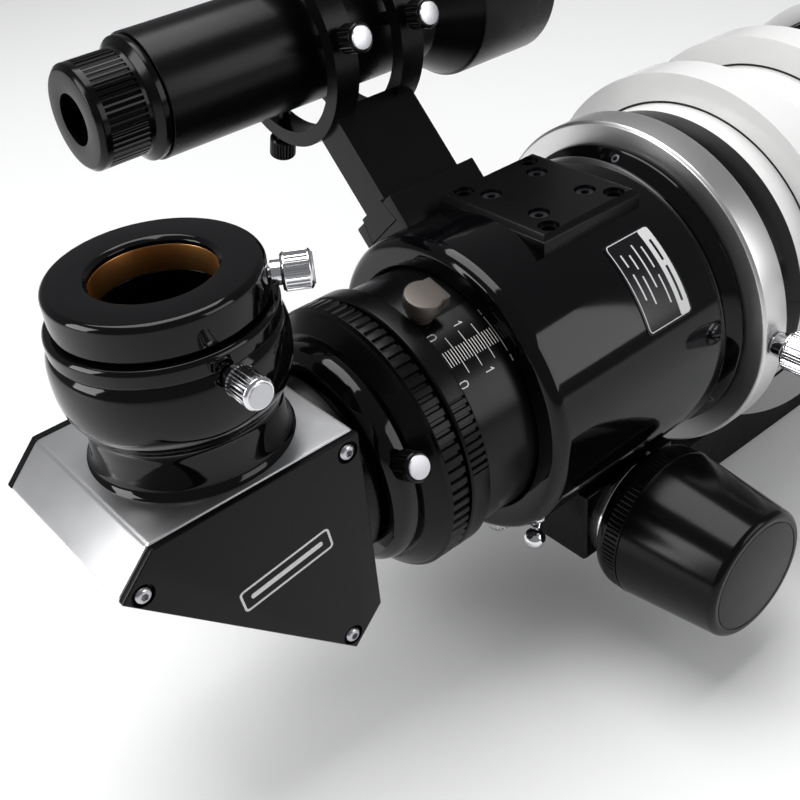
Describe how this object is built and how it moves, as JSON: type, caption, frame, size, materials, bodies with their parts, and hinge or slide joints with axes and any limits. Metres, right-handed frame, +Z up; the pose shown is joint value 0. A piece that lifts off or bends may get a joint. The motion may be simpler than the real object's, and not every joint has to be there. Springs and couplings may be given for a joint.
{
  "type": "refractor telescope",
  "caption": "Short refractor telescope on a dovetail bar: rack focuser with knobs and scale, mirror diagonal, sliding dew shield, finder on a shoe.",
  "frame": {"origin": "centre of the dovetail bar's bottom face", "axes": "+X along the optical axis towards the sky, +Z up through the accessory plate, -Y towards the near focus knob"},
  "size_m": [0.4512, 0.2114, 0.2127],
  "materials": {
    "black_anodised": "black anodised aluminium, satin",
    "gloss_black": "gloss black lacquer on aluminium",
    "white_paint": "gloss white paint on aluminium",
    "silver_satin": "satin silver anodised",
    "steel": "machined steel",
    "chrome": "polished",
    "matte_black": "matte black",
    "felt": "black felt",
    "lens_glass": "coated optical glass",
    "mirror_face": "aluminised glass",
    "brass": "machined brass",
    "knob_gloss": "smooth black lacquer on aluminium",
    "label_face": "printed label plate"
  },
  "bodies": {
    "tube": {"dovetail_bar": "black_anodised", "ring_bolts": "steel", "rear_ring_lower": "white_paint", "rear_ring_upper": "white_paint", "front_ring_lower": "white_paint", "front_ring_upper": "white_paint", "ring_hinge_pins": "steel", "ring_liners": "felt", "main_tube": "white_paint", "rear_cell": "black_anodised", "rotation_collar": "silver_satin", "tube_baffles": "matte_black", "lens_cell": "black_anodised", "front_lens": "lens_glass", "rear_lens": "lens_glass", "lens_retainer": "black_anodised"},
    "rear_clamp": {"rear_clamp_knob": "chrome"},
    "front_clamp": {"front_clamp_knob": "chrome"},
    "rotation_lock": {"rotation_lock_screw": "chrome"},
    "shield": {"dew_shield": "white_paint", "shield_front_ring": "black_anodised"},
    "shield_lock": {"shield_lock_screw": "chrome"},
    "focuser": {"focuser_barrel": "gloss_black", "focuser_front_ring": "silver_satin", "accessory_plate": "black_anodised", "plate_screws": "steel", "label_plate": "label_face", "pinion_housing": "black_anodised", "pinion_washers": "silver_satin", "finder_shoe": "black_anodised"},
    "shoe_lock": {"shoe_lock_screw": "chrome"},
    "draw_lock": {"lock_lever": "chrome"},
    "draw_tension": {"tension_screw": "steel"},
    "draw": {"drawtube": "black_anodised", "rack": "steel"},
    "draw_knob": {"drawtube_knob": "black_anodised"},
    "rotator_lock": {"lock_ring": "black_anodised"},
    "pinion": {"pinion_shaft": "steel", "near_focus_knob": "knob_gloss", "far_focus_knob": "knob_gloss"},
    "fine": {"fine_focus_knob": "knob_gloss"},
    "rotator": {"angle_ring": "black_anodised", "nose_clamp": "gloss_black"},
    "nose_lock": {"nose_clamp_screw": "chrome"},
    "diagonal": {"nosepiece": "black_anodised", "diagonal_housing": "silver_satin", "side_plates": "black_anodised", "side_plate_screws": "steel", "diagonal_mirror": "mirror_face", "eyepiece_holder": "gloss_black"},
    "holder_lock": {"holder_screw": "chrome"},
    "adapter": {"eyepiece_adapter": "gloss_black", "adapter_clamp_ring": "brass"},
    "adapter_lock": {"adapter_screw": "chrome"},
    "finder": {"finder_bracket": "black_anodised", "finder_screws": "black_anodised", "finder_tube": "gloss_black", "finder_lens": "lens_glass"},
    "finder_focus": {"finder_eyepiece": "matte_black"}
  },
  "joints": [
    {"name": "focuser_rotation", "type": "hinge", "parent": "tube", "child": "focuser", "pos_m": [-0.122, 0, 0.0895], "axis": [1, 0, 0], "continuous": true},
    {"name": "focus_travel", "type": "slide", "parent": "focuser", "child": "draw", "axis": [-1, 0, 0], "range_m": [-0.009, 0.06]},
    {"name": "pinion_turn", "type": "hinge", "parent": "focuser", "child": "pinion", "pos_m": [-0.1425, 0, 0.0415], "axis": [0, -1, 0], "range_deg": [-86, 573]},
    {"name": "fine_turn", "type": "hinge", "parent": "focuser", "child": "fine", "pos_m": [-0.1425, 0.08, 0.0415], "axis": [0, -1, 0], "range_deg": [-860, 5730]},
    {"name": "rotator_lock_turn", "type": "hinge", "parent": "draw", "child": "rotator_lock", "pos_m": [-0.209, 0, 0.0895], "axis": [1, 0, 0], "range_deg": [-90, 90]},
    {"name": "camera_angle", "type": "hinge", "parent": "draw", "child": "rotator", "pos_m": [-0.212, 0, 0.0895], "axis": [1, 0, 0], "continuous": true},
    {"name": "nose_lock_turn", "type": "hinge", "parent": "rotator", "child": "nose_lock", "pos_m": [-0.2293, -0.03668, 0.10545], "axis": [0, -0.9171, 0.3987], "range_deg": [0, 360]},
    {"name": "diagonal_turn", "type": "hinge", "parent": "rotator", "child": "diagonal", "pos_m": [-0.227, 0, 0.0895], "axis": [1, 0, 0], "range_deg": [-90, 90]},
    {"name": "holder_lock_turn", "type": "hinge", "parent": "diagonal", "child": "holder_lock", "pos_m": [-0.27261, -0.03499, 0.1545], "axis": [-0.0175, -0.9998, 0], "range_deg": [0, 360]},
    {"name": "adapter_lift", "type": "slide", "parent": "diagonal", "child": "adapter", "axis": [0, 0, 1], "range_m": [0, 0.025]},
    {"name": "adapter_lock_turn", "type": "hinge", "parent": "adapter", "child": "adapter_lock", "pos_m": [-0.24547, -0.01789, 0.1655], "axis": [0.829, -0.5592, 0], "range_deg": [0, 360]},
    {"name": "shield_slide", "type": "slide", "parent": "tube", "child": "shield", "axis": [-1, 0, 0], "range_m": [0, 0.038]},
    {"name": "shield_lock_turn", "type": "hinge", "parent": "shield", "child": "shield_lock", "pos_m": [0.0435, -0.066, 0.0895], "axis": [0, -1, 0], "range_deg": [0, 360]},
    {"name": "rear_clamp_turn", "type": "hinge", "parent": "tube", "child": "rear_clamp", "pos_m": [-0.06, -0.074, 0.1015], "axis": [0, 0, 1], "range_deg": [0, 360]},
    {"name": "front_clamp_turn", "type": "hinge", "parent": "tube", "child": "front_clamp", "pos_m": [-0.016, -0.074, 0.1015], "axis": [0, 0, 1], "range_deg": [0, 360]},
    {"name": "rotation_lock_turn", "type": "hinge", "parent": "tube", "child": "rotation_lock", "pos_m": [-0.095, -0.065, 0.0895], "axis": [0, -1, 0], "range_deg": [0, 360]},
    {"name": "shoe_lock_turn", "type": "hinge", "parent": "focuser", "child": "shoe_lock", "pos_m": [-0.155, 0.05275, 0.11821], "axis": [0, 0.7193, -0.6947], "range_deg": [0, 360]},
    {"name": "draw_lock_turn", "type": "hinge", "parent": "focuser", "child": "draw_lock", "pos_m": [-0.1725, -0.02796, 0.04805], "axis": [0, -0.5592, -0.829], "range_deg": [-60, 60]},
    {"name": "draw_tension_turn", "type": "hinge", "parent": "focuser", "child": "draw_tension", "pos_m": [-0.174, -0.01125, 0.04078], "axis": [0, -0.225, -0.9744], "range_deg": [0, 360]},
    {"name": "draw_knob_turn", "type": "hinge", "parent": "draw", "child": "draw_knob", "pos_m": [-0.2008, -0.01316, 0.13253], "axis": [0, -0.2924, 0.9563], "range_deg": [0, 360]},
    {"name": "finder_slide", "type": "slide", "parent": "focuser", "child": "finder", "axis": [-1, 0, 0], "range_m": [0, 0.034]},
    {"name": "finder_focus_turn", "type": "hinge", "parent": "finder", "child": "finder_focus", "pos_m": [-0.235, 0.08614, 0.1787], "axis": [1, 0, 0], "range_deg": [0, 360]}
  ],
  "couplings": [
    {"joint": "pinion_turn", "follows": "focus_travel", "rad_per_m": 166.67},
    {"joint": "fine_turn", "follows": "focus_travel", "rad_per_m": 1666.7}
  ]
}
